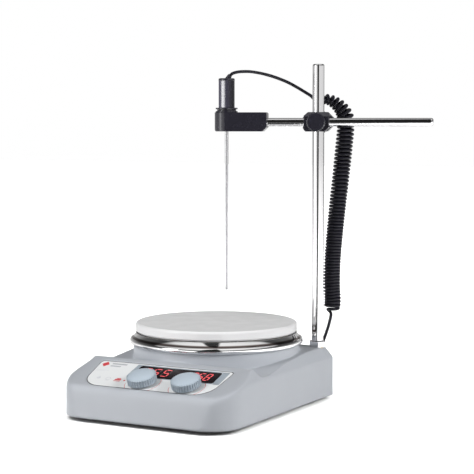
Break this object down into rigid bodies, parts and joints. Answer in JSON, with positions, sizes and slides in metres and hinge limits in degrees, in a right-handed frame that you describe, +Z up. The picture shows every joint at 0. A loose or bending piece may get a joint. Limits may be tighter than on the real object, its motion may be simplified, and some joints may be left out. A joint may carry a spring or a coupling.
{
  "type": "magnetic stirrer",
  "caption": "Heated magnetic stirrer with a round plate, a sloping panel with displays and knobs, and a rod and arm that hold a temperature probe on a curly cable.",
  "frame": {"origin": "centre of the heated plate's top face, where a vessel stands", "axes": "+Z up, +X right and +Y back, seen from the control panel"},
  "size_m": [0.2404, 0.2096, 0.2835],
  "materials": {
    "cast_housing": "satin",
    "base_metal": "satin",
    "black_rubber": "matte",
    "screw_steel": "satin",
    "plate_coating": "gloss",
    "polished_steel": "polished",
    "heater_brass": "satin",
    "insulation": "matte",
    "sheet_metal": "satin",
    "lead_sleeve": "matte",
    "panel_print": "satin",
    "window_tint": "gloss",
    "display_block": "matte",
    "board_resin": "satin",
    "encoder_case": "satin",
    "wheel_plastic": "matte",
    "knob_plastic": "satin",
    "ribbon_vinyl": "matte",
    "component_mix": "satin",
    "black_plastic": "satin",
    "motor_can": "satin",
    "magnet_alloy": "satin",
    "clamp_plastic": "satin",
    "cable_vinyl": "satin"
  },
  "bodies": {
    "housing": {"upper_housing": "cast_housing", "base_plate": "base_metal", "rubber_feet": "black_rubber", "base_screws": "screw_steel", "heating_plate": "plate_coating", "drip_ring": "polished_steel", "heater_element": "heater_brass", "insulation_disc": "insulation", "heat_shield": "sheet_metal", "plate_posts": "screw_steel", "plate_sensor": "screw_steel", "heater_leads": "lead_sleeve", "panel_sheet": "panel_print", "display_window": "window_tint", "left_display": "display_block", "right_display": "display_block", "control_board": "board_resin", "board_screws": "screw_steel", "speed_encoder": "encoder_case", "temperature_encoder": "encoder_case", "encoder_nuts": "screw_steel", "ribbon_cable": "ribbon_vinyl", "power_board": "board_resin", "power_components": "component_mix", "power_inlet": "black_plastic", "switch_frame": "black_plastic", "probe_socket": "screw_steel", "motor_bracket": "sheet_metal", "motor_body": "motor_can", "motor_screws": "screw_steel", "motor_bearings": "screw_steel", "rod_socket": "heater_brass", "cable_tail": "cable_vinyl", "probe_plug": "black_plastic"},
    "speed_ring": {"speed_encoder_wheel": "wheel_plastic"},
    "speed_control": {"speed_spindle": "screw_steel", "speed_knob": "knob_plastic"},
    "temperature_ring": {"temperature_encoder_wheel": "wheel_plastic"},
    "temperature_control": {"temperature_spindle": "screw_steel", "temperature_knob": "knob_plastic"},
    "rotor": {"motor_shaft": "screw_steel", "magnet_yoke": "sheet_metal", "magnets": "magnet_alloy"},
    "rocker": {"power_rocker": "black_plastic"},
    "fuse_holder": {"fuse_drawer": "black_plastic"},
    "nut": {"lock_nut": "polished_steel"},
    "rod": {"support_rod": "polished_steel", "curly_cable": "cable_vinyl"},
    "boss": {"boss_head": "clamp_plastic", "cable_lead": "cable_vinyl"},
    "rod_clamp": {"rod_clamp_knob": "clamp_plastic"},
    "arm_clamp": {"arm_clamp_knob": "clamp_plastic"},
    "arm": {"support_arm": "polished_steel"},
    "holder": {"probe_holder": "clamp_plastic", "holder_screw": "screw_steel"},
    "probe": {"probe_tube": "polished_steel", "probe_flange": "clamp_plastic", "probe_handle": "clamp_plastic", "probe_cap": "clamp_plastic"}
  },
  "joints": [
    {"name": "speed_turn", "type": "hinge", "parent": "housing", "child": "speed_ring", "pos_m": [0.0345, -0.10674, -0.0362], "axis": [0, -0.3256, 0.9455], "continuous": true},
    {"name": "speed_press", "type": "slide", "parent": "speed_ring", "child": "speed_control", "axis": [0, 0.3256, -0.9455], "range_m": [0, 0.0008], "stiffness_N_per_m": 1500, "springref_m": -0.0004},
    {"name": "temperature_turn", "type": "hinge", "parent": "housing", "child": "temperature_ring", "pos_m": [-0.0055, -0.10674, -0.0362], "axis": [0, -0.3256, 0.9455], "continuous": true},
    {"name": "temperature_press", "type": "slide", "parent": "temperature_ring", "child": "temperature_control", "axis": [0, 0.3256, -0.9455], "range_m": [0, 0.0008], "stiffness_N_per_m": 1500, "springref_m": -0.0004},
    {"name": "rotor_spin", "type": "hinge", "parent": "housing", "child": "rotor", "pos_m": [0, 0, -0.026], "axis": [0, 0, 1], "continuous": true},
    {"name": "power_switch", "type": "hinge", "parent": "housing", "child": "rocker", "pos_m": [-0.008, 0.062, -0.049], "axis": [0, 0, 1], "range_deg": [-20, 0]},
    {"name": "fuse_slide", "type": "slide", "parent": "housing", "child": "fuse_holder", "axis": [0, 1, 0], "range_m": [0, 0.0135]},
    {"name": "nut_turn", "type": "hinge", "parent": "housing", "child": "nut", "pos_m": [0.0678, 0.054, -0.0215], "axis": [0, 0, 1], "range_deg": [0, 180]},
    {"name": "rod_swivel", "type": "hinge", "parent": "housing", "child": "rod", "pos_m": [0.0678, 0.054, -0.009], "axis": [0, 0, 1], "range_deg": [-60, 60], "deforming": ["cable_tail"]},
    {"name": "boss_slide", "type": "slide", "parent": "rod", "child": "boss", "axis": [0, 0, 1], "range_m": [-0.01, 0.035], "deforming": ["curly_cable", "cable_lead"]},
    {"name": "rod_clamp_turn", "type": "hinge", "parent": "boss", "child": "rod_clamp", "pos_m": [0.06422, 0.06334, 0.166], "axis": [-0.3584, 0.9336, 0], "range_deg": [-180, 0]},
    {"name": "arm_clamp_turn", "type": "hinge", "parent": "boss", "child": "arm_clamp", "pos_m": [0.07497, 0.03533, 0.166], "axis": [0.3584, -0.9336, 0], "range_deg": [-180, 0]},
    {"name": "arm_slide", "type": "slide", "parent": "boss", "child": "arm", "axis": [0.9336, 0.3584, 0], "range_m": [-0.02, 0.025]},
    {"name": "holder_tilt", "type": "hinge", "parent": "arm", "child": "holder", "pos_m": [0.02542, 0.02488, 0.166], "axis": [0.9336, 0.3584, 0], "range_deg": [-15, 15]},
    {"name": "probe_slide", "type": "slide", "parent": "holder", "child": "probe", "axis": [0, 0, 1], "range_m": [0, 0.012]}
  ]
}
